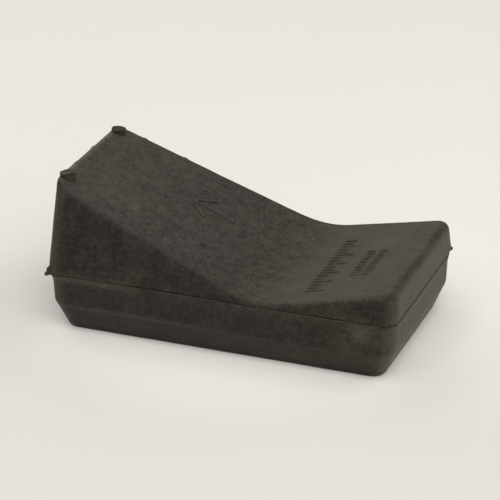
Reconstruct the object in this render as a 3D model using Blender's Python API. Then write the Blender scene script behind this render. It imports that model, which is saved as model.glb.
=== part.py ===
"""A moulded rubber door wedge: one block with a high ridge, a ramp, a hollow valley and a low ledge.

The block was pressed in a two-part mould, so it is modelled as the two halves of that moulding, the flash
between them, the stubs that the mould's vents left, and the marks raised on its top.
X runs along the block, from the ridge at -X to the ledge at +X, and Z is up. The origin is the middle of
the flat base. Everything is in metres.
"""

import math

import bmesh
import bpy
import numpy as np
from mathutils import Matrix, Vector

MM = 0.001
TOUCH_GAP = 0.3 * MM  # kept between solids that touch on the real block

# the whole block, measured round its lower half at the seam
LENGTH = 150 * MM
WIDTH = 85.4 * MM
SEAM_HEIGHT = 25.6 * MM

# lower half: a band with a slight draft, then a chamfer down to the base
LOWER_CORNER = 8.3 * MM
BAND_FOOT = 12.1 * MM
BAND_INSET = 0.5 * MM
CHAMFER_INSET = 4.7 * MM
BASE_EDGE = 0.9 * MM

# upper half: it stands a little proud of the lower one, and its walls lean in
OVERHANG = 0.8 * MM
UPPER_CORNER = 6.8 * MM
SMALLEST_CORNER = 0.3 * MM
HIGH_END_DRAFT = 0.02
LOW_END_DRAFT = 0.065
SIDE_DRAFT = 0.26

# the top, seen from the side: two straight slopes with an arc between them
RIDGE_X = -72.8 * MM
RIDGE_HEIGHT = 64 * MM
RAMP_SLOPE = 0.414
LEDGE_HEIGHT = 39.5 * MM
LEDGE_SLOPE = 0.236
VALLEY_RADIUS = 37 * MM

# fillets round the top
RIDGE_FILLET = 3.3 * MM
LOW_END_FILLET = 4.2 * MM
SIDE_FILLET_AT = (-75 * MM, 0.0, 22 * MM, 60 * MM)
SIDE_FILLET = (5.6 * MM, 3.4 * MM, 1.9 * MM, 2.8 * MM)

# how finely the outline is cut
CORNER_STEPS = 6
SIDE_STEPS = 60
WALL_STEPS = 2
WALL_SOLVING_STEPS = 30
FILLET_STEPS = 6
STUB_SIDES = 16
SHARPEST_SMOOTH_EDGE = 32  # degrees

# rubber squeezed out where the mould halves met
FLASH_THICKNESS = 0.3 * MM
FLASH_PROUD = 0.3 * MM
FLASH_DEPTH = 6 * MM

# stubs that the mould's vents left
RIDGE_STUB_RADIUS = 3.1 * MM
RIDGE_STUB_HEIGHT = 1.3 * MM
RIDGE_STUB_X = -70.9 * MM
RIDGE_STUB_Y = 26.5 * MM
TAB_RADIUS = 1.9 * MM
TAB_TIP_RADIUS = 0.9 * MM
TAB_LENGTH = 1.7 * MM
TAB_TURN = 40  # degrees round the near corner of the high end, from straight out at the end
TAB_DROP = 0.35  # for each unit that it points outwards
SEAM_NUB_RADIUS = 0.9 * MM
SEAM_NUB_LENGTH = 0.5 * MM
SEAM_NUB_TURN = 30  # degrees round the far corner of the low end, from straight out at the end

# marks raised on the top
MARK_HEIGHT = 0.75 * MM  # over the surface that it stands on, the gap below it included
ARROW_TIP = (-29.5 * MM, 6.3 * MM)
ARROW_LENGTH = 21 * MM
ARROW_STROKE = 1.0 * MM
ARROW_HEAD_REACH = 8.5 * MM
TICKS = 18
TICK_X = 38.5 * MM
TICK_FIRST_Y = -30 * MM
TICK_PITCH = 3.05 * MM
TICK_WIDTH = 1.0 * MM
LONG_TICK = 8.2 * MM
SHORT_TICK = 4.6 * MM
LONG_TICK_EVERY = 3
DASHES = 10
DASH_ROWS_X = (50.2 * MM, 55.2 * MM)
DASH_FIRST_Y = -16.2 * MM
DASH_PITCH = 2.75 * MM
DASH_LENGTH = 3.0 * MM
DASH_WIDTH = 0.9 * MM

# colours and roughness
BLACK_RUBBER = (0.036, 0.033, 0.029)
BODY_ROUGHNESS = 0.62
FLASH_RUBBER = (0.052, 0.045, 0.036)
FLASH_ROUGHNESS = 0.7


def clear_scene():
    for thing in list(bpy.data.objects):
        bpy.data.objects.remove(thing)


def rubber(name, colour, roughness):
    material = bpy.data.materials.new(name)
    material.use_nodes = True
    shader = material.node_tree.nodes["Principled BSDF"]
    shader.inputs["Base Color"].default_value = (*colour, 1)
    shader.inputs["Roughness"].default_value = roughness
    shader.inputs["Metallic"].default_value = 0
    return material


def new_object(name, shape, material):
    """Turns a bmesh into a named object, smooth but for its real edges."""
    bmesh.ops.recalc_face_normals(shape, faces=shape.faces)
    mesh = bpy.data.meshes.new(name)
    shape.to_mesh(mesh)
    shape.free()
    mesh.shade_smooth()
    mesh.set_sharp_from_angle(angle=math.radians(SHARPEST_SMOOTH_EDGE))
    mesh.materials.append(material)
    thing = bpy.data.objects.new(name, mesh)
    bpy.context.scene.collection.objects.link(thing)
    return thing


def stations():
    """The near half's points, each as the share done of the left corner, the side and the right corner."""
    corner = np.linspace(0, 1, CORNER_STEPS + 1)
    side = np.linspace(0, 1, SIDE_STEPS + 1)[1:-1]
    before, after = len(corner), len(side)
    left = np.concatenate([corner, np.ones(after + before)])
    along = np.concatenate([np.zeros(before), side, np.ones(before)])
    right = np.concatenate([np.zeros(before + after), corner])
    return left, along, right


LEFT_TURN, ALONG, RIGHT_TURN = stations()


def outline(left_end, right_end, half_width, corner):
    """Near half of a rounded rectangle, one point a station. Sizes may differ between stations."""
    turn = (LEFT_TURN + RIGHT_TURN) * math.pi / 2
    centre = (corner - left_end) * (1 - ALONG) + (right_end - corner) * ALONG
    x = centre - corner * np.cos(turn)
    y = corner - half_width - corner * np.sin(turn)
    return x, y


def whole_ring(x, y, z):
    """The near half's points, then the far half's in mirror, which close the ring."""
    z = np.broadcast_to(z, x.shape)
    near = list(zip(x, y, z))
    far = list(zip(x, -y, z))
    return near + far[::-1]


def loft(rings):
    """A closed body through rings of the same number of points, capped by strips from side to side."""
    shape = bmesh.new()
    rows = [[shape.verts.new(point) for point in ring] for ring in rings]
    count = len(rows[0])
    for lower, upper in zip(rows, rows[1:]):
        for i in range(count):
            j = (i + 1) % count
            shape.faces.new((lower[i], lower[j], upper[j], upper[i]))
    for row in (rows[0], rows[-1]):
        for i in range(count // 2 - 1):
            shape.faces.new((row[i], row[i + 1], row[count - 2 - i], row[count - 1 - i]))
    return shape


def top_height(x):
    """Height of the top over the base: the ramp, the valley's arc, then the ledge."""
    ramp_angle = math.atan(RAMP_SLOPE)
    ledge_angle = math.atan(LEDGE_SLOPE)
    ramp = RIDGE_HEIGHT - RAMP_SLOPE * (x - RIDGE_X)
    ledge = LEDGE_HEIGHT + LEDGE_SLOPE * (x - LENGTH / 2)
    rise = RIDGE_HEIGHT + RAMP_SLOPE * RIDGE_X - LEDGE_HEIGHT + LEDGE_SLOPE * LENGTH / 2
    meet_x = rise / (RAMP_SLOPE + LEDGE_SLOPE)
    meet_z = LEDGE_HEIGHT + LEDGE_SLOPE * (meet_x - LENGTH / 2)
    reach = VALLEY_RADIUS * math.tan((ramp_angle + ledge_angle) / 2)
    start = meet_x - reach * math.cos(ramp_angle)
    end = meet_x + reach * math.cos(ledge_angle)
    centre_x = start + VALLEY_RADIUS * math.sin(ramp_angle)
    centre_z = meet_z + reach * math.sin(ramp_angle) + VALLEY_RADIUS * math.cos(ramp_angle)
    off_centre = np.clip(x - centre_x, -VALLEY_RADIUS, VALLEY_RADIUS)
    arc = centre_z - np.sqrt(VALLEY_RADIUS**2 - off_centre**2)
    return np.where(x < start, ramp, np.where(x > end, ledge, arc))


def top_fillet(x):
    side = np.interp(x, SIDE_FILLET_AT, SIDE_FILLET)
    side = RIDGE_FILLET * (1 - LEFT_TURN) + side * LEFT_TURN
    return side * (1 - RIGHT_TURN) + LOW_END_FILLET * RIGHT_TURN


def upper_outline(rise, inset):
    """The upper half's outline at a height over the seam, moved in by inset."""
    half = LENGTH / 2 + OVERHANG
    corner = np.maximum(UPPER_CORNER - inset, SMALLEST_CORNER)
    return outline(
        half - rise * HIGH_END_DRAFT - inset,
        half - rise * LOW_END_DRAFT - inset,
        WIDTH / 2 + OVERHANG - rise * SIDE_DRAFT - inset,
        corner,
    )


def wall_heights():
    """Where the leaning wall ends and the fillet starts, over the seam.

    The wall's top depends on x, and x on how far up the leaning wall is, so it is found in steps.
    """
    wall = np.full(LEFT_TURN.shape, LEDGE_HEIGHT - SEAM_HEIGHT)
    for _ in range(WALL_SOLVING_STEPS):
        x, _y = upper_outline(wall, 0.0)
        wall = (wall + top_height(x) - top_fillet(x) - SEAM_HEIGHT) / 2
    return wall, top_fillet(x)


def upper_half(material):
    floor = SEAM_HEIGHT + TOUCH_GAP + FLASH_THICKNESS / 2
    wall, fillet = wall_heights()
    rings = []
    for step in range(WALL_STEPS + 1):
        z = floor + (SEAM_HEIGHT + wall - floor) * step / WALL_STEPS
        x, y = upper_outline(z - SEAM_HEIGHT, 0.0)
        rings.append(whole_ring(x, y, z))
    for step in range(1, FILLET_STEPS + 1):
        turn = step / FILLET_STEPS * math.pi / 2
        x, y = upper_outline(wall, fillet * (1 - math.cos(turn)))
        rings.append(whole_ring(x, y, top_height(x) - fillet * (1 - math.sin(turn))))
    return new_object("upper_half", loft(rings), material)


def lower_half(material):
    levels = (
        (0.0, BAND_INSET + CHAMFER_INSET + BASE_EDGE),
        (BASE_EDGE, BAND_INSET + CHAMFER_INSET),
        (BAND_FOOT, BAND_INSET),
        (SEAM_HEIGHT - TOUCH_GAP - FLASH_THICKNESS / 2, 0.0),
    )
    rings = []
    for z, inset in levels:
        half = LENGTH / 2 - inset
        x, y = outline(half, half, WIDTH / 2 - inset, LOWER_CORNER - inset / 2)
        rings.append(whole_ring(x, y, z))
    return new_object("lower_half", loft(rings), material)


def seam_flash(material):
    """A thin frame of rubber between the halves, which shows as a fin all round."""
    shape = bmesh.new()
    corners = (LEFT_TURN < 1) | (RIGHT_TURN > 0)
    corners[CORNER_STEPS] = True
    loops = []
    for inset in (-FLASH_PROUD, FLASH_DEPTH):
        x, y = upper_outline(0.0, inset)
        for z in (SEAM_HEIGHT - FLASH_THICKNESS / 2, SEAM_HEIGHT + FLASH_THICKNESS / 2):
            loops.append([shape.verts.new(p) for p in whole_ring(x[corners], y[corners], z)])
    around = (loops[0], loops[1], loops[3], loops[2])
    for first, second in zip(around, around[1:] + around[:1]):
        for i in range(len(first)):
            j = (i + 1) % len(first)
            shape.faces.new((first[i], first[j], second[j], second[i]))
    return new_object("seam_flash", shape, material)


def stub(name, place, direction, radii, length, material):
    """A short round stub, standing at place and pointing along direction."""
    shape = bmesh.new()
    bmesh.ops.create_cone(
        shape, cap_ends=True, segments=STUB_SIDES, radius1=radii[0], radius2=radii[1], depth=length
    )
    bmesh.ops.translate(shape, verts=shape.verts, vec=(0, 0, length / 2))
    thing = new_object(name, shape, material)
    turn = Vector((0, 0, 1)).rotation_difference(Vector(direction))
    thing.matrix_world = Matrix.Translation(place) @ turn.to_matrix().to_4x4()
    return thing


def ridge_stubs(material):
    """Two stubs, one near each end of the ridge, square to the ramp."""
    up = Vector((RAMP_SLOPE, 0, 1)).normalized()
    for name, y in (("ridge_stub_near", -RIDGE_STUB_Y), ("ridge_stub_far", RIDGE_STUB_Y)):
        foot = Vector((RIDGE_STUB_X, y, float(top_height(RIDGE_STUB_X)))) + up * TOUCH_GAP
        radii = (RIDGE_STUB_RADIUS, RIDGE_STUB_RADIUS)
        stub(name, foot, up, radii, RIDGE_STUB_HEIGHT, material)


def seam_stubs(material):
    """A horn of flash at the near corner of the high end, and a tiny nub at the far corner of the low end."""
    end, side = LENGTH / 2 - UPPER_CORNER + OVERHANG, WIDTH / 2 - UPPER_CORNER + OVERHANG
    reach = UPPER_CORNER + FLASH_PROUD + TOUCH_GAP
    horn_radii = (TAB_RADIUS, TAB_TIP_RADIUS)
    nub_radii = (SEAM_NUB_RADIUS, SEAM_NUB_RADIUS / 2)
    for name, sign, degrees, drop, radii, length in (
        ("seam_tab_high_end", -1, TAB_TURN, TAB_DROP, horn_radii, TAB_LENGTH),
        ("seam_nub_low_end", 1, SEAM_NUB_TURN, 0, nub_radii, SEAM_NUB_LENGTH),
    ):
        turn = math.radians(degrees)
        out = (sign * math.cos(turn), sign * math.sin(turn))
        foot = (sign * end + reach * out[0], sign * side + reach * out[1], SEAM_HEIGHT)
        stub(name, foot, (*out, -drop), radii, length, material)


def raised_mark(name, corners, place, slope, material):
    """An outline raised from a slope of the top: corners are along the slope and across it, from place."""
    thickness = MARK_HEIGHT - TOUCH_GAP
    shape = bmesh.new()
    face = shape.faces.new([shape.verts.new((x, y, 0)) for x, y in corners])
    swept = bmesh.ops.extrude_face_region(shape, geom=[face])
    lifted = [v for v in swept["geom"] if isinstance(v, bmesh.types.BMVert)]
    bmesh.ops.translate(shape, verts=lifted, vec=(0, 0, thickness))
    mark = new_object(name, shape, material)
    tilt = Matrix.Rotation(-math.atan(slope), 4, "Y")
    x, y = place
    surface = Matrix.Translation((x, y, float(top_height(x))))
    mark.matrix_world = surface @ tilt @ Matrix.Translation((0, 0, TOUCH_GAP))
    return mark


def direction_arrow(material):
    """An open arrowhead and its shaft, pointing up the ramp to the ridge."""
    half = ARROW_STROKE / 2
    slant = ARROW_STROKE * math.sqrt(2)
    reach = ARROW_HEAD_REACH
    side = (
        (0.0, 0.0),
        (reach, reach),
        (reach + slant / 2, reach - slant / 2),
        (slant + half, half),
        (ARROW_LENGTH, half),
    )
    corners = list(side) + [(x, -y) for x, y in side[:0:-1]]
    raised_mark("direction_arrow", corners, ARROW_TIP, -RAMP_SLOPE, material)


def bar_corners(length, width):
    x, y = length / 2, width / 2
    return [(-x, -y), (x, -y), (x, y), (-x, y)]


def scale_marks(material):
    """Plain ticks and dashes on the ledge."""
    for i in range(TICKS):
        length = SHORT_TICK if i % LONG_TICK_EVERY else LONG_TICK
        place = (TICK_X - (LONG_TICK - length) / 2, TICK_FIRST_Y + i * TICK_PITCH)
        corners = bar_corners(length, TICK_WIDTH)
        raised_mark(f"scale_tick_{i + 1:02d}", corners, place, LEDGE_SLOPE, material)
    for row, x in zip("ab", DASH_ROWS_X):
        for i in range(DASHES):
            place = (x, DASH_FIRST_Y + i * DASH_PITCH)
            corners = bar_corners(DASH_LENGTH, DASH_WIDTH)
            raised_mark(f"scale_dash_{row}{i + 1:02d}", corners, place, LEDGE_SLOPE, material)


def main():
    clear_scene()
    body = rubber("black_rubber", BLACK_RUBBER, BODY_ROUGHNESS)
    edges = rubber("flash_rubber", FLASH_RUBBER, FLASH_ROUGHNESS)
    lower_half(body)
    upper_half(body)
    seam_flash(edges)
    ridge_stubs(edges)
    seam_stubs(edges)
    direction_arrow(body)
    scale_marks(body)


main()
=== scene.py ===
import itertools
import math

import bmesh
import bpy
import numpy as np
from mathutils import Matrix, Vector
from mathutils.bvhtree import BVHTree


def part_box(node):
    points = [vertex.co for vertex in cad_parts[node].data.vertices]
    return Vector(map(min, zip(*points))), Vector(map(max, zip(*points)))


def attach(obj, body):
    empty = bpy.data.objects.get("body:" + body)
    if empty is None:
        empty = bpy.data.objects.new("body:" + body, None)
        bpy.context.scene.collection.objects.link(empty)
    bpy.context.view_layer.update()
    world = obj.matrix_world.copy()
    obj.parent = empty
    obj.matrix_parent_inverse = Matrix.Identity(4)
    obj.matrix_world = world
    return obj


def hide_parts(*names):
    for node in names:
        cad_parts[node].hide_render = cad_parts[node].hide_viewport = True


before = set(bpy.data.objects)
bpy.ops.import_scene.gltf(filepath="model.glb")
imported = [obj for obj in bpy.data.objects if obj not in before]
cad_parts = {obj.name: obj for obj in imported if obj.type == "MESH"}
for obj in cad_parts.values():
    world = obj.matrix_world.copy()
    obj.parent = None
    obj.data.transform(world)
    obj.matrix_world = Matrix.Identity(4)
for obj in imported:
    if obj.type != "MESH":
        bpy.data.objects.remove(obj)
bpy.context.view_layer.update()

# The looks of a moulded rubber door wedge. Every piece is fine mesh work made from, or placed by, the
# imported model: the two halves of the block, the flash and stubs on its seam and ridge, and the raised marks.

MM = 0.001

# ---------------------------------------------------------------- the block's own places, from the frame

UPPER_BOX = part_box("upper_half")
LOWER_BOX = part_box("lower_half")
FLASH_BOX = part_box("seam_flash")
SEAM_Z = (FLASH_BOX[0][2] + FLASH_BOX[1][2]) / 2
UPPER_CORNER = 6.8 * MM
LOWER_CORNER = 8.3 * MM

# ---------------------------------------------------------------- how finely things are cut

VOXEL = 0.62 * MM
SEAM_BAND = 1.5 * MM  # this near to the seam the block's mesh is cut twice as fine
MARK_CELL = 0.18 * MM
FLASH_STEP = 0.35 * MM
STUB_SIDES = 56
HORN_SIDES = 32
HORN_RINGS = 34

# ---------------------------------------------------------------- sizes that only the looks have

SEAM_REACH = 3 * MM  # how far up or down from the seam the halves are stretched to bring them together
SEAM_WANDER = 0.12 * MM
SMOOTHED_RADIUS = 0.7 * MM  # what smoothing leaves at the rims
RIM_FLARE = 0.58 * MM  # the lower half's rim swells this much, over the height below
SHUT_FLARE = 0.2 * MM  # and this much more where the seam is shut, to meet the upper half
RIM_FLARE_HEIGHT = 5 * MM
FLASH_DEPTH = 2.5 * MM
MARK_STROKE = 1.0 * MM
MARK_RISE = 0.62 * MM
MARK_SINK = 0.09 * MM
MARK_SKIRT = 0.75 * MM


def smooth_noise(points, size, seed):
    """Smooth noise from -1 to 1, with features about size across."""
    lattice = np.random.default_rng(seed).uniform(-1, 1, (32, 32, 32))
    at = points / size
    cell = np.floor(at).astype(int)
    share = at - cell
    share = share * share * (3 - 2 * share)
    total = np.zeros(len(points))
    for corner in itertools.product((0, 1), repeat=3):
        i, j, k = ((cell + corner) % 32).T
        weight = np.where(corner, share, 1 - share).prod(axis=1)
        total += weight * lattice[i, j, k]
    return total


def smoothstep(value, start, end):
    share = np.clip((value - start) / (end - start), 0, 1)
    return share * share * (3 - 2 * share)


def mound(distance, radius):
    """1 at no distance, falling smoothly to 0 at radius."""
    return 1 - smoothstep(distance, 0, radius)


def past_outline(points, half_x, half_y, corner):
    """How far points are outside a rounded rectangle round the origin, and which way is out."""
    flat = points[:, :2]
    inner = np.abs(flat) - (half_x - corner, half_y - corner)
    beyond = np.maximum(inner, 0)
    length = np.linalg.norm(beyond, axis=1)
    distance = length + np.minimum(inner.max(axis=1), 0) - corner
    nearest_side = np.where(inner[:, :1] > inner[:, 1:], (1.0, 0.0), (0.0, 1.0))
    out = np.where(length[:, None] > 0, beyond / np.maximum(length, 1e-9)[:, None], nearest_side)
    return distance, out * np.sign(flat)


# ---------------------------------------------------------------- meshes as arrays


def vertices_of(mesh):
    flat = np.empty(len(mesh.vertices) * 3)
    mesh.vertices.foreach_get("co", flat)
    return flat.reshape(-1, 3)


def set_vertices(mesh, points):
    mesh.vertices.foreach_set("co", points.ravel())
    mesh.update()


def normals_of(mesh):
    flat = np.empty(len(mesh.vertices) * 3)
    mesh.vertex_normals.foreach_get("vector", flat)
    return flat.reshape(-1, 3)


def edges_of(mesh):
    flat = np.empty(len(mesh.edges) * 2, dtype=np.int32)
    mesh.edges.foreach_get("vertices", flat)
    return flat.reshape(-1, 2)


def neighbour_mean(values, edges):
    """The mean of each vertex's neighbours."""
    a, b = edges.T
    size = len(values)
    count = np.maximum(np.bincount(a, minlength=size) + np.bincount(b, minlength=size), 1)
    columns = []
    for column in values.reshape(size, -1).T:
        total = np.bincount(a, column[b], size) + np.bincount(b, column[a], size)
        columns.append(total / count)
    return np.stack(columns, axis=1).reshape(values.shape)


def blurred(values, edges, rounds):
    for _ in range(rounds):
        values = neighbour_mean(values, edges)
    return values


def smoothed(points, edges, rounds, share=1.0):
    """Takes out roughness without shrinking: each round pulls in, then pushes out a little more."""
    share = np.broadcast_to(share, (len(points),))[:, None]
    for _ in range(rounds):
        for pull in (0.5, -0.53):
            points = points + pull * share * (neighbour_mean(points, edges) - points)
    return points


def give_attribute(mesh, name, values):
    layer = mesh.attributes.new(name, "FLOAT", "POINT")
    layer.data.foreach_set("value", np.asarray(values, dtype=np.float32))


def mesh_from(name, points, faces):
    """A mesh of the points that the faces use."""
    used, renumbered = np.unique(faces, return_inverse=True)
    mesh = bpy.data.meshes.new(name)
    mesh.from_pydata(points[used].tolist(), [], renumbered.reshape(faces.shape).tolist())
    mesh.update()
    return mesh


def new_piece(name, mesh, material, slot, *nodes):
    """Puts a mesh in the scene as a piece that stands for CAD nodes and rides on the block."""
    mesh.materials.clear()
    mesh.materials.append(material)
    mesh.shade_smooth()
    piece = bpy.data.objects.new(name, mesh)
    bpy.context.scene.collection.objects.link(piece)
    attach(piece, "root")
    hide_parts(*nodes)
    return piece


def fine_copy(node, voxel):
    """A CAD node's shape as an even fine mesh."""
    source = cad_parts[node]
    helper = bpy.data.objects.new("remesh_helper", source.data.copy())
    bpy.context.scene.collection.objects.link(helper)
    remesh = helper.modifiers.new("Remesh", "REMESH")
    remesh.mode = "VOXEL"
    remesh.voxel_size = voxel
    bpy.context.view_layer.update()
    graph = bpy.context.evaluated_depsgraph_get()
    mesh = bpy.data.meshes.new_from_object(helper.evaluated_get(graph))
    coarse = helper.data
    bpy.data.objects.remove(helper)
    bpy.data.meshes.remove(coarse)
    return mesh


def cut_finer(mesh, chosen):
    """Cuts the edges between chosen vertices in two."""
    shape = bmesh.new()
    shape.from_mesh(mesh)
    shape.verts.ensure_lookup_table()
    edges = [e for e in shape.edges if chosen[e.verts[0].index] and chosen[e.verts[1].index]]
    bmesh.ops.subdivide_edges(shape, edges=edges, cuts=1, use_grid_fill=True)
    bmesh.ops.triangulate(shape, faces=[f for f in shape.faces if len(f.verts) > 4])
    shape.to_mesh(mesh)
    shape.free()


# ---------------------------------------------------------------- wear and moulding marks on the block


def wavy(points):
    """How far the moulded skin stands in or out: slow waves, then finer ones."""
    waves = 0.11 * MM * smooth_noise(points, 24 * MM, 11)
    waves += 0.06 * MM * smooth_noise(points, 9 * MM, 12)
    waves += 0.028 * MM * smooth_noise(points, 3.4 * MM, 13)
    waves += 0.016 * MM * smooth_noise(points, 1.5 * MM, 14)
    return waves


def pitted(points, count, seed, deepest):
    """Small round pits scattered over the skin."""
    random = np.random.default_rng(seed)
    depth = np.zeros(len(points))
    for place in points[random.integers(0, len(points), count)]:
        radius = random.uniform(0.8, 1.7) * MM
        deep = random.uniform(0.25, 1.0) * deepest
        near = np.abs(points - place).max(axis=1) < radius
        away = np.linalg.norm(points[near] - place, axis=1)
        depth[near] = np.maximum(depth[near], deep * mound(away, radius))
    return depth


def dent(points, place, size, deep, turn=0.0):
    """A long hollow with a lip of pushed-up rubber along its upper side, in a wall that faces -Y or +X.

    size is its half length and half height, turn tips it, and place is a point on the wall.
    """
    away = points - np.array(place)
    across = np.where(np.abs(away[:, 0]) > np.abs(away[:, 1]), away[:, 0], away[:, 1])
    along = across * math.cos(turn) + away[:, 2] * math.sin(turn)
    up = away[:, 2] * math.cos(turn) - across * math.sin(turn)
    shape = np.hypot(along / size[0], up / size[1])
    near = np.linalg.norm(away, axis=1) < 3 * max(size)
    lip = mound(np.hypot(along / size[0], (up - 1.25 * size[1]) / (0.6 * size[1])), 1.0)
    return np.where(near, 0.45 * deep * lip - deep * mound(shape, 1.0), 0.0)


def seam_openness(points):
    """From 0 where the halves are pressed shut to 1 where the parting line gapes, round the seam."""
    x, y = points[:, 0], points[:, 1]
    flat = points * (1.0, 1.0, 0.0)
    near = smoothstep(-y, 15 * MM, 32 * MM)
    gape = 0.16 * near * smoothstep(-x, 30 * MM, 48 * MM)
    gape = np.maximum(gape, 0.75 * smoothstep(x, 68 * MM, 74 * MM))
    gape = np.maximum(gape, 0.25 * near * mound(np.abs(x - 12 * MM), 24 * MM))
    return np.maximum(gape, 0.01 + 0.08 * np.maximum(smooth_noise(flat, 13 * MM, 34), 0))


def pressed_shut(openness):
    """From 1 where the seam is shut to 0 where it gapes."""
    return 1 - smoothstep(openness, 0.1, 0.4)


def seam_level(points):
    """How far the parting line wanders up or down at each place."""
    flat = points * (1.0, 1.0, 0.0)
    return SEAM_WANDER * (smooth_noise(flat, 12 * MM, 31) + 0.4 * smooth_noise(flat, 2.5 * MM, 32))


def half_gap(openness):
    """How far each half's rim stays off the parting line."""
    return (0.025 + 0.085 * openness) * MM


def squared_corner(across, up):
    """How far to move each point, inward and along, to make a rim rounded by smoothing square again."""
    from_centre = SMOOTHED_RADIUS - np.column_stack([across, up])
    reach = from_centre.max(axis=1)
    in_corner = (from_centre.min(axis=1) > 0) & (reach < 1.2 * SMOOTHED_RADIUS)
    grow = np.where(in_corner, np.linalg.norm(from_centre, axis=1) / np.maximum(reach, 1e-9) - 1, 0)
    near_edge = smoothstep(reach, 0.5 * SMOOTHED_RADIUS, 0.75 * SMOOTHED_RADIUS)
    return -from_centre * (grow * near_edge)[:, None]


def seam_edge(points, box, corner, rim_z, side):
    """Brings a half's rim to the seam and rounds its edge, unevenly. side is 1 above the seam, -1 below."""
    openness = seam_openness(points)
    height = (points[:, 2] - rim_z) * side
    rim = SEAM_Z + seam_level(points) + side * half_gap(openness)
    points = points.copy()
    points[:, 2] += (1 - smoothstep(height, 0, SEAM_REACH)) * (rim - rim_z)
    height = (points[:, 2] - rim) * side
    half_x, half_y = (box[1][0] - box[0][0]) / 2, (box[1][1] - box[0][1]) / 2
    distance, out = past_outline(points, half_x, half_y, corner)
    squared = squared_corner(-distance, height) * pressed_shut(openness)[:, None]
    points[:, :2] -= out * squared[:, :1]
    points[:, 2] += side * squared[:, 1]
    distance, height = distance - squared[:, 0], height + squared[:, 1]
    radius = (0.05 + 0.65 * openness) * MM * (1 + 0.25 * smooth_noise(points, 7 * MM, 33))
    across = -distance - radius
    up = height - radius
    length = np.maximum(np.hypot(across, up), 1e-9)
    pull = np.where((across < 0) & (up < 0) & (length > radius), 1 - radius / length, 0)
    points[:, :2] -= out * (-across * pull)[:, None]
    points[:, 2] -= side * up * pull
    return points


def high_end_rubbed_and_painted_light(points, normals):
    """From 0 to 1: painted light on the skin turned towards the high end, most at the rounded corners, and the
    ridge rubbed brown with a painted highlight along it.
    """
    turned = smoothstep(-normals[:, 0], -0.02, 0.3) * (1 - 0.5 * smoothstep(-normals[:, 0], 0.9, 0.985))
    ridge = smoothstep(-normals[:, 0], -0.34, -0.1) * smoothstep(-points[:, 0], 66 * MM, 70 * MM)
    ridge *= 1 - smoothstep(np.abs(points[:, 1]), 27 * MM, 33 * MM)
    ridge *= 0.75 + 0.35 * smooth_noise(points, 3.5 * MM, 28)
    top = smoothstep(normals[:, 2], 0.2, 0.5)
    return 0.24 * turned * (1 - top) + ridge * top


def chamfer_painted_highlight(points):
    """A line along the near side where the wall turns in, painted lighter as a highlight on that edge, fading
    towards the low end.
    """
    line = mound(np.abs(points[:, 2] - CHAMFER_TOP), 1.2 * MM) * smoothstep(-points[:, 1], 36 * MM, 40 * MM)
    return line * (1 - smoothstep(points[:, 0], -30 * MM, 25 * MM))


def seam_lines(points):
    """Two lines, one on each side of the seam, on the near side towards the high end: slight lips, painted
    lighter as highlights.
    """
    lip = mound(np.abs(np.abs(points[:, 2] - SEAM_Z) - 0.8 * MM), 0.7 * MM)
    return lip * smoothstep(-points[:, 1], 15 * MM, 32 * MM) * smoothstep(-points[:, 0], 28 * MM, 46 * MM)


def stained(points):
    """How much earth is rubbed into the skin at each place."""
    total = np.zeros(len(points))
    for place, radius, share in STAINS:
        away = np.linalg.norm(points - np.array(place) * MM, axis=1)
        away *= 1 + 0.45 * smooth_noise(points, 3 * MM, 27)
        total += share * mound(away, radius)
    return total


def finish_half(name, mesh, material):
    """Gives the skin its dust, earth and rubbed places, with painted sheen, highlights and shade, and puts the
    half in the scene.
    """
    points = vertices_of(mesh)
    normals = normals_of(mesh)
    edges = edges_of(mesh)
    # dust lies on what faces up or towards the low end, and this lightening also stands as painted sheen on
    # these grazing faces, most on the low end's chamfer; the fillet between the two is made darker
    lying = smoothstep(normals[:, 2], 0.25, 0.85)
    turned_down = smoothstep(-normals[:, 2], 0.2, 0.4)
    towards_low_end = smoothstep(normals[:, 0], 0.25, 0.9) * (1.25 + 1.2 * turned_down)
    fillet = smoothstep(normals[:, 0], 0.08, 0.3) * (1 - smoothstep(normals[:, 0], 0.72, 0.93))
    fillet *= smoothstep(points[:, 0], 66 * MM, 70 * MM) * smoothstep(normals[:, 2], 0.1, 0.5)
    dust_and_painted_light = blurred(np.maximum(lying, towards_low_end), edges, 28) - 0.8 * blurred(fillet, edges, 4)
    # the middle of the ramp is darker, faces turned down are a little lighter, the foot is painted darker as
    # contact shade, and a strip of the walls under the ledge is darker
    darker_middle = smoothstep(points[:, 0], -60 * MM, -20 * MM) - smoothstep(points[:, 0], 5 * MM, 30 * MM)
    dust_and_painted_light *= 1 - 0.32 * darker_middle
    dust_and_painted_light += 0.14 * turned_down - 0.5 * mound(points[:, 2], 3.5 * MM)
    under_ledge = mound(np.abs(points[:, 2] - 32 * MM), 6 * MM) * smoothstep(points[:, 0], 10 * MM, 40 * MM)
    dust_and_painted_light -= 0.35 * under_ledge * smoothstep(np.abs(normals[:, 1]), 0.6, 0.9)
    # where the seam is shut it is painted lighter: painted light that cancels the shade in its groove
    groove = mound(np.abs(points[:, 2] - SEAM_Z), 0.7 * MM) * pressed_shut(seam_openness(points))
    dust_and_painted_light += 0.3 * groove
    # rubbed brown and earth stains, with painted light at the high end and painted highlights along the
    # chamfer edge and the seam lips
    rubbed_and_painted_light = high_end_rubbed_and_painted_light(points, normals) + 0.28 * chamfer_painted_highlight(points) + 0.4 * seam_lines(points)
    rubbed_and_painted_light = blurred(rubbed_and_painted_light, edges, 2) + 0.6 * stained(points)
    give_attribute(mesh, "dust_and_painted_light", np.clip(dust_and_painted_light, -0.5, 2))
    give_attribute(mesh, "rubbed_and_painted_light", np.clip(rubbed_and_painted_light, 0, 1))
    return new_piece(name, mesh, material, "body_rubber", name)


def moved(mesh, move):
    """Pushes each vertex out along its normal."""
    set_vertices(mesh, vertices_of(mesh) + normals_of(mesh) * move[:, None])


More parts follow.
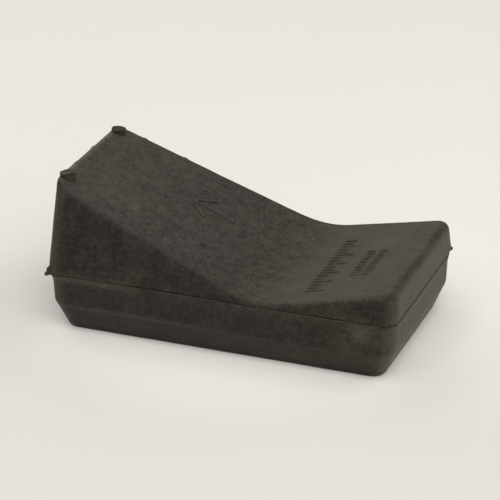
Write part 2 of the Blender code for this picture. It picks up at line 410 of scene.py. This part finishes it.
def upper_half(material):
    mesh = fine_copy("upper_half", VOXEL)
    cut_finer(mesh, vertices_of(mesh)[:, 2] < SEAM_Z + SEAM_BAND)
    points = vertices_of(mesh)
    edges = edges_of(mesh)
    rim_z = UPPER_BOX[0][2]
    points = smoothed(points, edges, 4)
    points = smoothed(points, edges, 45, smoothstep(points[:, 2] - rim_z, 1 * MM, 4 * MM))
    set_vertices(mesh, seam_edge(points, UPPER_BOX, UPPER_CORNER, rim_z, 1))
    points = vertices_of(mesh)
    move = wavy(points) - pitted(points, 420, 21, 0.14 * MM)
    for place, radius, rise in EDGE_LUMPS:
        move += rise * mound(np.linalg.norm(points - np.array(place) * MM, axis=1), radius)
    move += 0.2 * MM * seam_lines(points)
    move += dent(points, END_NICK, (3.4 * MM, 0.55 * MM), 0.6 * MM, 0.15)
    moved(mesh, move)
    return finish_half("upper_half", mesh, material)


def lower_half(material):
    mesh = fine_copy("lower_half", VOXEL)
    cut_finer(mesh, vertices_of(mesh)[:, 2] > SEAM_Z - SEAM_BAND)
    points = vertices_of(mesh)
    edges = edges_of(mesh)
    points = smoothed(points, edges, 5)
    set_vertices(mesh, seam_edge(points, LOWER_BOX, LOWER_CORNER, LOWER_BOX[1][2], -1))
    points = vertices_of(mesh)
    standing = smoothstep(points[:, 2], 0, 1.5 * MM)
    move = wavy(points) - pitted(points, 260, 22, 0.14 * MM)
    upright = 1 - smoothstep(np.abs(normals_of(mesh)[:, 2]), 0.2, 0.6)
    flare = RIM_FLARE + SHUT_FLARE * pressed_shut(seam_openness(points))
    move += flare * upright * mound(SEAM_Z - points[:, 2], RIM_FLARE_HEIGHT)
    move += 0.2 * MM * seam_lines(points)
    move += dent(points, WALL_GOUGE, (1.5 * MM, 0.7 * MM), 0.7 * MM, -0.25)
    move += dent(points, FOOT_NICK, (0.8 * MM, 0.9 * MM), 0.5 * MM)
    moved(mesh, move * standing)
    return finish_half("lower_half", mesh, material)


# small lumps on the ridge, the ramp's far edge and the near wall: the place in millimetres, how wide, how high
EDGE_LUMPS = (
    ((-74.5, 6.0, 63.2), 2.6 * MM, 0.35 * MM),
    ((-74.4, -12.0, 62.9), 3.0 * MM, 0.2 * MM),
    ((-61.8, 34.4, 58.2), 1.8 * MM, 0.4 * MM),
    ((-44.0, 36.2, 50.9), 1.8 * MM, 0.4 * MM),
    ((-49.1, -42.2, 24.4), 1.6 * MM, 0.3 * MM),
)
# earth rubbed into the skin: the place in millimetres, how far it spreads and how strong it is
STAINS = (
    ((61.7, -42.2, 21.0), 8 * MM, 0.8),
    ((56.0, -42.0, 15.0), 8 * MM, 0.3),
    ((53.2, -42.2, 28.0), 7 * MM, 0.25),
    ((-43.1, -21.4, 51.7), 8 * MM, 0.35),
    ((34.4, -27.5, 37.0), 8 * MM, 0.3),
    ((52.0, 18.0, 37.0), 12 * MM, 0.25),
    ((-49.1, -42.2, 24.4), 2.5 * MM, 0.6),
    ((-10.0, 43.0, 18.0), 12 * MM, 0.4),
    ((40.0, 42.0, 12.0), 8 * MM, 0.35),
)
CHAMFER_TOP = 12.1 * MM
END_NICK = (75.5 * MM, 6.4 * MM, 28.2 * MM)
WALL_GOUGE = (-30.2 * MM, -42.2 * MM, 14.4 * MM)
FOOT_NICK = (19 * MM, -39.0 * MM, 4.9 * MM)


# ---------------------------------------------------------------- flash on the seam


def ring_outline(half_x, half_y, corner, step):
    """Points round a rounded rectangle, about a step apart, and the outward direction at each."""
    straight_x, straight_y = half_x - corner, half_y - corner
    quarter = corner * math.pi / 2
    places, outs = [], []
    for turn, length, centre in (
        (0, 2 * straight_y, (straight_x, straight_y)),
        (1, 2 * straight_x, (-straight_x, straight_y)),
        (2, 2 * straight_y, (-straight_x, -straight_y)),
        (3, 2 * straight_x, (straight_x, -straight_y)),
    ):
        way = turn * math.pi / 2
        out = np.array((math.cos(way), math.sin(way)))
        along = np.array((-out[1], out[0]))
        for share in np.arange(0, 1, step / length):
            places.append(np.array(centre) + out * corner - along * length * (1 - share))
            outs.append(out)
        for share in np.arange(0, 1, step / quarter):
            bend = way + share * math.pi / 2
            out_here = np.array((math.cos(bend), math.sin(bend)))
            places.append(np.array(centre) + out_here * corner)
            outs.append(out_here)
    return np.array(places), np.array(outs)


def seam_flash(material):
    """A thin ragged fin between the halves, torn back into the groove, deepest where the seam gapes."""
    half_x = (FLASH_BOX[1][0] - FLASH_BOX[0][0]) / 2
    half_y = (FLASH_BOX[1][1] - FLASH_BOX[0][1]) / 2
    places, outs = ring_outline(half_x, half_y, UPPER_CORNER, FLASH_STEP)
    ring = np.column_stack([places, np.full(len(places), SEAM_Z)])
    openness = seam_openness(ring)
    torn = 0.6 * smooth_noise(ring, 17 * MM, 41) + 0.4 * smooth_noise(ring, 4 * MM, 42)
    torn += 0.3 * smooth_noise(ring, 1.1 * MM, 43)
    shut = pressed_shut(openness)
    proud = (0.04 * torn - 0.36 - 0.82 * (1 - shut)) * MM
    thick = 0.9 * half_gap(openness) + 0.24 * MM * shut
    # how far in from the fin's edge and how far up, as shares of its depth and of half its thickness
    profile = (
        (-1.0, 0.4), (-0.15, 0.9), (-0.06, 1.0), (-0.01, 0.85), (0.0, 0.4),
        (0.0, -0.4), (-0.01, -0.85), (-0.06, -1.0), (-0.15, -0.9), (-1.0, -0.4),
    )
    rows = []
    for inward, side in profile:
        reach = proud + inward * FLASH_DEPTH
        row = ring.copy()
        row[:, :2] += outs * reach[:, None]
        row[:, 2] += seam_level(ring) + side * thick
        rows.append(row)
    count = len(ring)
    points = np.concatenate(rows)
    faces = []
    for k in range(len(rows)):
        this, other = k * count, (k + 1) % len(rows) * count
        for i in range(count):
            j = (i + 1) % count
            faces.append((this + i, other + i, other + j, this + j))
    mesh = mesh_from("seam_flash", points, np.array(faces))
    give_attribute(mesh, "rubbed_and_painted_light", np.zeros(len(mesh.vertices)))
    # where the seam is shut the flash is painted lighter, painted light that cancels the shade in the groove;
    # where it gapes it is darker
    give_attribute(mesh, "dust_and_painted_light", np.tile(0.75 * shut - 0.3 * (1 - shut), len(profile)))
    new_piece("seam_flash", mesh, material, "flash_rubber", "seam_flash")


# ---------------------------------------------------------------- stubs and horns


class Skin:
    """The upper half's finished surface, to stand things on."""

    def __init__(self, piece):
        mesh = piece.data
        faces = [tuple(face.vertices) for face in mesh.polygons]
        self.tree = BVHTree.FromPolygons([v.co for v in mesh.vertices], faces)

    def below(self, x, y):
        """The point under x, y and the skin's normal there."""
        place, normal, _face, _distance = self.tree.ray_cast(Vector((x, y, 0.2)), Vector((0, 0, -1)))
        return np.array(place), np.array(normal)


def closed_tube(name, points, sides):
    """A mesh round rings of points, its ends drawn in to a point."""
    faces = []
    for ring in range(0, len(points) - sides, sides):
        for i in range(sides):
            j = (i + 1) % sides
            faces.append((ring + i, ring + sides + i, ring + sides + j, ring + j))
    last = len(points) - sides
    tip, heel = len(points), len(points) + 1
    points = np.vstack([points, points[last:].mean(axis=0), points[:sides].mean(axis=0)])
    for i in range(sides):
        j = (i + 1) % sides
        faces.append((last + j, last + i, tip))
        faces.append((i, j, heel))
    mesh = bpy.data.meshes.new(name)
    mesh.from_pydata(points.tolist(), [], faces)
    shape = bmesh.new()
    shape.from_mesh(mesh)
    bmesh.ops.recalc_face_normals(shape, faces=shape.faces)
    shape.to_mesh(mesh)
    shape.free()
    return mesh


def swept(name, spine, radii, sides, rough, seed, across=(1.0, 1.0)):
    """Rings of the given radii along a spine, with a torn skin. across scales each ring's two axes."""
    spine = np.array(spine)
    ahead = np.gradient(spine, axis=0)
    ahead /= np.linalg.norm(ahead, axis=1)[:, None]
    side = np.cross(ahead, (0.0, 1.0, 0.0) if abs(ahead[0][1]) < 0.7 else (0.0, 0.0, 1.0))
    side /= np.linalg.norm(side, axis=1)[:, None]
    other = np.cross(ahead, side)
    turn = np.arange(sides) / sides * 2 * math.pi
    rings = []
    for centre, radius, u, v in zip(spine, radii, side, other):
        ring = np.outer(np.cos(turn), u) * across[0] + np.outer(np.sin(turn), v) * across[1]
        rings.append(centre + ring * radius)
    points = np.concatenate(rings)
    outward = points - np.repeat(spine, sides, axis=0)
    outward /= np.maximum(np.linalg.norm(outward, axis=1), 1e-9)[:, None]
    ruffle = rough * (smooth_noise(points, 1.3 * MM, seed) + 0.5 * smooth_noise(points, 0.6 * MM, seed + 1))
    ruffle *= np.repeat(np.minimum(np.array(radii) / max(radii), 1), sides)
    points = points + (outward + np.repeat(ahead, sides, axis=0) * 0.5) * ruffle[:, None]
    return closed_tube(name, points, sides)


def node_reach(node, place, direction):
    """How far a CAD node goes from place along direction."""
    return float(((vertices_of(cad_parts[node].data) - place) @ direction).max())


def ridge_stub(name, skin, material, lean, rise, rubbed, seed):
    """A torn vent stub: a short thick peg with a rolled edge and a slightly hollow top.

    It leans off the vertical by lean degrees towards the low end, and rise scales its height. rubbed is how
    brown the near half of its top is, and how much lighter it is painted there as its lit side.
    """
    low, high = (np.array(c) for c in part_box(name))
    centre = (low + high) / 2
    place, square = skin.below(centre[0] - 0.6 * MM, centre[1])
    radius = (high[1] - low[1]) / 2
    height = node_reach(name, place, square) * rise
    lean = math.radians(lean)
    normal = np.array((math.sin(lean), 0.0, math.cos(lean)))
    # how far up the stub, as a share of its height, and how wide there, as a share of its radius
    profile = (
        (-2.0, 1.0), (-1.0, 1.08), (-0.1, 1.06), (0.15, 1.0), (0.4, 0.97), (0.65, 1.0), (0.85, 1.02),
        (0.97, 0.97), (1.0, 0.88), (0.98, 0.74), (0.92, 0.52), (0.89, 0.3), (0.9, 0.12), (0.9, 0.04),
    )
    spine = [place + normal * height * up for up, _wide in profile]
    mesh = stub_mesh(name, spine, [radius * wide for _up, wide in profile], normal, seed)
    away = vertices_of(mesh) - place
    flat = np.linalg.norm(away - np.outer(away @ normal, normal), axis=1)
    top = smoothstep(away @ normal, 0.55 * height, 0.8 * height)
    # the top is darker, but for the half of it nearer to -Y, which is rubbed brown and painted lighter as the
    # lit side
    near_half = 1 - smoothstep(away[:, 1] - away[:, 0] * 0.4, -0.1 * radius, 0.5 * radius)
    give_attribute(mesh, "dust_and_painted_light", -0.25 - 0.6 * top * (1 - 1.5 * rubbed * near_half))
    inside_rim = 1 - smoothstep(flat, 0.7 * radius, 0.9 * radius)
    give_attribute(mesh, "rubbed_and_painted_light", rubbed * top * near_half * inside_rim)
    new_piece(name, mesh, material, "flash_rubber", name)


def stub_mesh(name, spine, radii, normal, seed):
    """Rings square to one direction, closed at both ends, with an uneven torn skin."""
    u = np.cross(normal, (0.0, 1.0, 0.0))
    u /= np.linalg.norm(u)
    v = np.cross(normal, u)
    turn = np.arange(STUB_SIDES) / STUB_SIDES * 2 * math.pi
    flat = np.outer(np.cos(turn), u) + np.outer(np.sin(turn), v)
    points = np.concatenate([centre + flat * radius for centre, radius in zip(spine, radii)])
    out = np.tile(flat, (len(spine), 1))
    points += out * (0.22 * MM * smooth_noise(points, 2.1 * MM, seed))[:, None]
    points += out * (0.10 * MM * smooth_noise(points, 0.8 * MM, seed + 1))[:, None]
    lift = 0.22 * smooth_noise(points, 2.6 * MM, seed + 2) + 0.1 * smooth_noise(points, 0.9 * MM, seed + 3)
    upper = np.repeat(smoothstep(np.arange(len(spine)), 3, 8), STUB_SIDES)
    points += normal * (lift * MM * upper)[:, None]
    return closed_tube(name, points, STUB_SIDES)


def horn(name, shape, material, seed):
    """A knob of torn flash on the seam, along its CAD node's way out.

    shape lists how far out from the node's foot, how thick, and how high over the seam, all in millimetres.
    """
    points = vertices_of(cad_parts[name].data)
    sign = math.copysign(1, points[:, 0].mean())
    points = points[np.argsort(points @ (sign, sign, 0.0))]
    half = len(points) // 2
    foot, tip = points[:half].mean(axis=0), points[half:].mean(axis=0)
    out = (tip - foot) * (1, 1, 0)
    out /= np.linalg.norm(out)
    far, thick, over = np.array(shape).T * MM
    steps = np.linspace(far[0], far[-1], HORN_RINGS)
    spine = foot * (1, 1, 0) + np.outer(steps, out)
    spine[:, 2] = SEAM_Z + np.interp(steps, far, over)
    radii = np.interp(steps, far, thick)
    mesh = swept(name, spine, radii, HORN_SIDES, 0.12 * MM, seed, (1.0, 0.8))
    give_attribute(mesh, "dust_and_painted_light", np.zeros(len(mesh.vertices)))
    give_attribute(mesh, "rubbed_and_painted_light", np.full(len(mesh.vertices), 0.12))
    new_piece(name, mesh, material, "flash_rubber", name)


HORN_SHAPE = (
    (-2.6, 2.6, 0.5), (-1.3, 2.4, 0.4), (-0.75, 2.0, 0.25), (-0.45, 1.55, 0.0), (-0.15, 1.15, -0.25),
    (0.2, 0.92, -0.45), (0.6, 0.9, -0.55), (0.95, 0.86, -0.6), (1.25, 0.66, -0.62), (1.42, 0.4, -0.62),
    (1.5, 0.12, -0.62),
)
NUB_SHAPE = (
    (-1.8, 1.1, 0.0), (-0.7, 1.0, 0.0), (-0.4, 0.8, 0.1), (-0.15, 0.6, 0.15), (0.0, 0.35, 0.2),
    (0.06, 0.1, 0.2),
)


# ---------------------------------------------------------------- raised marks


def stroke_distance(at, start, end):
    """How far points are from a straight stroke's middle line."""
    start, end = np.array(start), np.array(end)
    along = end - start
    share = np.clip(((at - start) @ along) / (along @ along), 0, 1)
    return np.linalg.norm(at - start - share[:, None] * along, axis=1)


def raised_mark(name, strokes, width, foot_shade, bare, skin, material, seed):
    """Strokes raised from the skin, with soft shoulders and feet that run into it.

    A stroke is a pair of ends in x and y. The patch's skirt dips just under the skin, and its back follows
    the skin from below. foot_shade is how much painted shade darkens the strokes' feet, and bare how much
    their tops are rubbed.
    """
    ends = np.array(strokes)
    margin = width / 2 + MARK_SKIRT
    low = ends.min(axis=(0, 1)) - margin
    high = ends.max(axis=(0, 1)) + margin
    xs = np.arange(low[0], high[0] + MARK_CELL, MARK_CELL)
    ys = np.arange(low[1], high[1] + MARK_CELL, MARK_CELL)
    at = np.stack(np.meshgrid(xs, ys, indexing="ij"), axis=-1).reshape(-1, 2)
    distance = np.min([stroke_distance(at, a, b) for a, b in strokes], axis=0)
    wobble = smooth_noise(np.column_stack([at, np.zeros(len(at))]), 2.2 * MM, seed)
    inside = width / 2 - distance + 0.10 * MM * wobble
    index = np.arange(len(at)).reshape(len(xs), len(ys))
    cells = np.stack([index[:-1, :-1], index[1:, :-1], index[1:, 1:], index[:-1, 1:]], axis=-1).reshape(-1, 4)
    cells = cells[(inside[cells] > -MARK_SKIRT).all(axis=1)]
    used, renumbered = np.unique(cells, return_inverse=True)
    cells = renumbered.reshape(cells.shape)
    at, inside, wobble = at[used], inside[used], wobble[used]
    places, normals = (np.array(rows) for rows in zip(*(skin.below(x, y) for x, y in at)))
    rise = smoothstep(inside, -0.34 * MM, 0.30 * MM) * MARK_RISE * (1 + 0.16 * wobble)
    rise += 0.05 * MM * smooth_noise(places, 0.8 * MM, seed + 1) * smoothstep(inside, -0.2 * MM, 0.2 * MM)
    upper = places + normals * (rise - MARK_SINK * mound(inside + MARK_SKIRT, MARK_SKIRT))[:, None]
    lower = places - normals * 0.5 * MM
    count = len(upper)
    one_way = {edge for a, b, c, d in cells.tolist() for edge in ((a, b), (b, c), (c, d), (d, a))}
    rim = [(b, a, a + count, b + count) for a, b in sorted(one_way) if (b, a) not in one_way]
    faces = np.concatenate([cells, cells[:, ::-1] + count, np.array(rim)])
    mesh = mesh_from(name, np.concatenate([upper, lower]), faces)
    # painted shade in the crease along each stroke's foot
    crease_shade = 1 - smoothstep(np.abs(inside + 0.12 * MM), 0.06 * MM, 0.3 * MM)
    dust_and_painted_light = np.concatenate([0.9 + 0.25 * smoothstep(inside, 0, 0.3 * MM) - foot_shade * crease_shade, np.zeros(count)])
    give_attribute(mesh, "dust_and_painted_light", np.clip(dust_and_painted_light, 0, 1))
    rubbed_and_painted_light = np.concatenate([bare * smoothstep(inside, 0.05 * MM, 0.35 * MM), np.zeros(count)])
    give_attribute(mesh, "rubbed_and_painted_light", rubbed_and_painted_light)
    new_piece(name, mesh, material, "raised_mark_rubber", name)


def direction_arrow(skin, material):
    low, high = (np.array(c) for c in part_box("direction_arrow"))
    middle = (low[1] + high[1]) / 2
    half = MARK_STROKE / 2
    tip = (low[0] + half * 1.2, middle)
    reach = (high[1] - low[1]) / 2 - half
    barb_x = tip[0] + reach * 0.93
    strokes = [
        (tip, (high[0] - half, middle)),
        (tip, (barb_x, middle - reach)),
        (tip, (barb_x, middle + reach)),
    ]
    raised_mark("direction_arrow", strokes, MARK_STROKE, 1.2, 0.12, skin, material, 71)


def scale_mark(name, skin, material, seed):
    """A tick or a dash: one straight stroke along the CAD bar's long side."""
    low, high = (np.array(c)[:2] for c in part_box(name))
    middle = (low + high) / 2
    size = high - low
    width = size.min()
    half = np.where(size > width, (size - width) / 2, 0)
    raised_mark(name, [(middle - half, middle + half)], width, 0.5, 0.0, skin, material, seed)


def marks(skin, material):
    direction_arrow(skin, material)
    names = sorted(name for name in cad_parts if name.startswith("scale_"))
    for i, name in enumerate(names):
        scale_mark(name, skin, material, 80 + 3 * i)


# ---------------------------------------------------------------- materials

# the clean rubber, dust on it, which also serves for painted sheen, light and shade, earth on it, and the
# brown where it is rubbed, which also serves for painted highlights
BODY_TONES = ((0.0085, 0.0073, 0.0056), (0.063, 0.058, 0.048), (0.078, 0.0675, 0.047), (0.125, 0.103, 0.073))
FLASH_TONES = ((0.020, 0.016, 0.0115), (0.060, 0.053, 0.042), (0.075, 0.062, 0.044), (0.115, 0.088, 0.058))
BUMP_SHARE = 0.8


class Nodes:
    """Builds a node tree by short calls."""

    def __init__(self, material):
        material.use_nodes = True
        self.tree = material.node_tree
        self.shader = self.tree.nodes["Principled BSDF"]
        self.coordinates = self.tree.nodes.new("ShaderNodeTexCoord").outputs["Object"]

    def link(self, output, target):
        self.tree.links.new(output, target)

    def stretched(self, x, y, z):
        mapping = self.tree.nodes.new("ShaderNodeMapping")
        mapping.inputs["Scale"].default_value = (x, y, z)
        self.link(self.coordinates, mapping.inputs["Vector"])
        return mapping.outputs["Vector"]

    def noise(self, size, detail=4.0, roughness=0.55, vector=None, distortion=0.0):
        noise = self.tree.nodes.new("ShaderNodeTexNoise")
        noise.inputs["Scale"].default_value = 1 / size
        noise.inputs["Detail"].default_value = detail
        noise.inputs["Roughness"].default_value = roughness
        noise.inputs["Distortion"].default_value = distortion
        self.link(vector or self.coordinates, noise.inputs["Vector"])
        return noise.outputs["Fac"]

    def attribute(self, name):
        node = self.tree.nodes.new("ShaderNodeAttribute")
        node.attribute_name = name
        return node.outputs["Fac"]

    def ranged(self, value, low, high, to_low=0.0, to_high=1.0):
        node = self.tree.nodes.new("ShaderNodeMapRange")
        node.interpolation_type = "SMOOTHSTEP"
        self.link(value, node.inputs["Value"])
        for name, number in (("From Min", low), ("From Max", high), ("To Min", to_low), ("To Max", to_high)):
            node.inputs[name].default_value = number
        return node.outputs["Result"]

    def along(self, axis):
        split = self.tree.nodes.new("ShaderNodeSeparateXYZ")
        self.link(self.coordinates, split.inputs[0])
        return split.outputs[axis]

    def far_out(self):
        length = self.tree.nodes.new("ShaderNodeVectorMath")
        length.operation = "LENGTH"
        self.link(self.coordinates, length.inputs[0])
        return length.outputs["Value"]

    def maths(self, operation, *values):
        node = self.tree.nodes.new("ShaderNodeMath")
        node.operation = operation
        for socket, value in zip(node.inputs, values):
            if isinstance(value, (int, float)):
                socket.default_value = value
            else:
                self.link(value, socket)
        return node.outputs[0]

    def mix(self, share, a, b):
        node = self.tree.nodes.new("ShaderNodeMix")
        node.data_type = "RGBA"
        self.link(share, node.inputs[0])
        for socket, colour in ((node.inputs[6], a), (node.inputs[7], b)):
            if isinstance(colour, tuple):
                socket.default_value = (*colour, 1)
            else:
                self.link(colour, socket)
        return node.outputs[2]

    def bumped(self, height, distance, strength=1.0, under=None):
        node = self.tree.nodes.new("ShaderNodeBump")
        node.inputs["Distance"].default_value = distance
        node.inputs["Strength"].default_value = strength
        self.link(height, node.inputs["Height"])
        if under:
            self.link(under, node.inputs["Normal"])
        return node.outputs["Normal"]


def rubber(name, base, dust, earth, brown):
    """Old matt black rubber: mottled, dusty where dust can lie, earthy at the low end, brown where rubbed. The
    dust and brown also carry the painted sheen, highlights and shade given on each mesh.
    """
    material = bpy.data.materials.new(name)
    n = Nodes(material)
    cloud = n.noise(15 * MM, 4, 0.6, distortion=0.5)
    mottle = n.noise(4.2 * MM, 4, 0.6)
    fine = n.noise(1.6 * MM, 4, 0.62)
    specks = n.noise(0.7 * MM, 2, 0.5)
    drag = n.noise(1.0, 5, 0.6, vector=n.stretched(1 / (16 * MM), 1 / (7 * MM), 1 / (1.7 * MM)))
    patches = n.noise(24 * MM, 4, 0.6, distortion=0.8)
    # dust, with painted sheen, light and shade, from the mesh
    dust_and_painted_light = n.attribute("dust_and_painted_light")

    low_end = n.ranged(n.along("X"), -15 * MM, 75 * MM)
    unevenness = n.maths("MULTIPLY", n.maths("SUBTRACT", cloud, 0.5), 0.5)
    for noise, spread in ((mottle, 1.3), (fine, 1.5), (specks, 0.9), (drag, 0.5)):
        unevenness = n.maths("MULTIPLY_ADD", n.maths("SUBTRACT", noise, 0.5), spread, unevenness)
    unevenness = n.maths("MULTIPLY", unevenness, n.maths("MULTIPLY_ADD", dust_and_painted_light, 0.25, 0.72))
    share = n.ranged(n.maths("MULTIPLY_ADD", dust_and_painted_light, 0.46, n.maths("ADD", unevenness, 0.2)), -0.3, 1.35)
    colour = n.mix(share, base, n.mix(low_end, dust, earth))
    colour = n.mix(n.ranged(patches, 0.56, 0.74, 0, 0.12), colour, brown)
    # rubbed brown and stains, with painted light and painted highlights, from the mesh
    rubbed_and_painted_light = n.maths("MULTIPLY", n.attribute("rubbed_and_painted_light"), n.ranged(fine, 0.25, 0.6, 0.55, 1))
    colour = n.mix(rubbed_and_painted_light, colour, brown)
    n.link(colour, n.shader.inputs["Base Color"])

    rough = n.ranged(mottle, 0.3, 0.7, 0.52, 0.68)
    rough = n.maths("ADD", rough, n.ranged(fine, 0.3, 0.7, -0.06, 0.08))
    n.link(rough, n.shader.inputs["Roughness"])

    grain = n.bumped(specks, 0.09 * MM, BUMP_SHARE)
    skin = n.bumped(fine, 0.16 * MM, BUMP_SHARE, grain)
    scratched = n.bumped(n.ranged(drag, 0.45, 0.75), 0.12 * MM, BUMP_SHARE, skin)
    n.link(scratched, n.shader.inputs["Normal"])
    n.shader.inputs["Specular IOR Level"].default_value = 0.2
    n.shader.inputs["Sheen Weight"].default_value = 0.04
    n.shader.inputs["Sheen Roughness"].default_value = 0.5
    n.shader.inputs["Sheen Tint"].default_value = (1.0, 0.9, 0.72, 1)
    return material


# ---------------------------------------------------------------- floor, light and camera

VIEW_TURN = math.radians(20.55)
VIEW_DROP = math.radians(24.49)
VIEW_DISTANCE = 1.0865
VIEW_TARGET = Vector((-0.86 * MM, 0, 29.81 * MM))
LENS = 187.2
LAMP_DISTANCE = 2.0
LAMP_COLOUR = (1.0, 0.985, 0.955)
ROOM_GLOW = 0.02


def floor():
    mesh = bpy.data.meshes.new("floor")
    half = 4.0
    corners = [(-half, -half, 0), (half, -half, 0), (half, half, 0), (-half, half, 0)]
    mesh.from_pydata(corners, [], [(0, 1, 2, 3)])
    material = bpy.data.materials.new("pale_floor")
    n = Nodes(material)
    # painted light: the floor is lighter towards the back and close round the block, a painted pool of light
    # for the light's fall-off and to lift the cast shadows next to the block; the noise is the floor's own
    # mottle
    tone = n.maths("MULTIPLY_ADD", n.noise(0.3, 3), 0.08, n.ranged(n.along("Y"), -0.085, 0.03, 0, 0.58))
    tone = n.maths("ADD", tone, n.ranged(n.far_out(), 0.05, 0.11, 0.85, 0))
    n.link(n.mix(tone, (0.70, 0.688, 0.662), (0.885, 0.87, 0.838)), n.shader.inputs["Base Color"])
    n.shader.inputs["Roughness"].default_value = 0.9
    n.shader.inputs["Specular IOR Level"].default_value = 0.2
    mesh.materials.append(material)
    stage = bpy.data.objects.new("floor", mesh)
    stage.location.z = -0.05 * MM
    bpy.context.scene.collection.objects.link(stage)


def softbox(name, turn, climb, size, glow):
    """A square light that faces the object, turn degrees round from the front and climb degrees up.

    A glow of 1 is as bright as white paper.
    """
    turn, climb = math.radians(turn), math.radians(climb)
    level = math.cos(climb)
    towards = Vector((math.sin(turn) * level, -math.cos(turn) * level, math.sin(climb)))
    light = bpy.data.lights.new(name, "AREA")
    light.size = size
    light.energy = glow * math.pi * size**2
    light.color = LAMP_COLOUR
    lamp = bpy.data.objects.new(name, light)
    lamp.visible_camera = False
    lamp.location = towards * LAMP_DISTANCE
    lamp.rotation_mode = "QUATERNION"
    lamp.rotation_quaternion = towards.to_track_quat("Z", "Y")
    bpy.context.scene.collection.objects.link(lamp)


def studio():
    """Broad soft lights all round, strongest from the front and the right, in a dim room."""
    world = bpy.data.worlds.new("room")
    world.use_nodes = True
    bpy.context.scene.world = world
    background = world.node_tree.nodes["Background"]
    background.inputs["Color"].default_value = (*LAMP_COLOUR, 1)
    background.inputs["Strength"].default_value = ROOM_GLOW
    softbox("front_overhead", 0, 60, 1.8, 2.2)
    softbox("right_overhead", 90, 60, 1.8, 0.9)
    softbox("left_overhead", 270, 50, 1.8, 0.75)
    softbox("front_right", 45, 32, 1.95, 1.5)
    softbox("back_right", 135, 32, 1.95, 0.95)
    softbox("back_left", 225, 32, 1.95, 0.9)


def camera():
    data = bpy.data.cameras.new("camera")
    data.lens = LENS
    data.sensor_width = 36
    thing = bpy.data.objects.new("camera", data)
    back = Vector((
        math.sin(VIEW_TURN) * math.cos(VIEW_DROP),
        -math.cos(VIEW_TURN) * math.cos(VIEW_DROP),
        math.sin(VIEW_DROP),
    ))
    thing.location = VIEW_TARGET + back * VIEW_DISTANCE
    thing.rotation_mode = "QUATERNION"
    thing.rotation_quaternion = (-back).to_track_quat("-Z", "Y")
    bpy.context.scene.collection.objects.link(thing)
    bpy.context.scene.camera = thing


def main():
    bpy.context.scene.view_settings.view_transform = "Standard"
    body = rubber("body_rubber", *BODY_TONES)
    flash = rubber("flash_rubber", *FLASH_TONES)
    floor()
    studio()
    camera()
    block = upper_half(body)
    lower_half(body)
    skin = Skin(block)
    seam_flash(flash)
    ridge_stub("ridge_stub_near", skin, flash, -7, 1.25, 0.6, 52)
    ridge_stub("ridge_stub_far", skin, flash, 3, 0.8, 0.05, 57)
    horn("seam_tab_high_end", HORN_SHAPE, flash, 51)
    horn("seam_nub_low_end", NUB_SHAPE, flash, 61)
    marks(skin, body)


main()
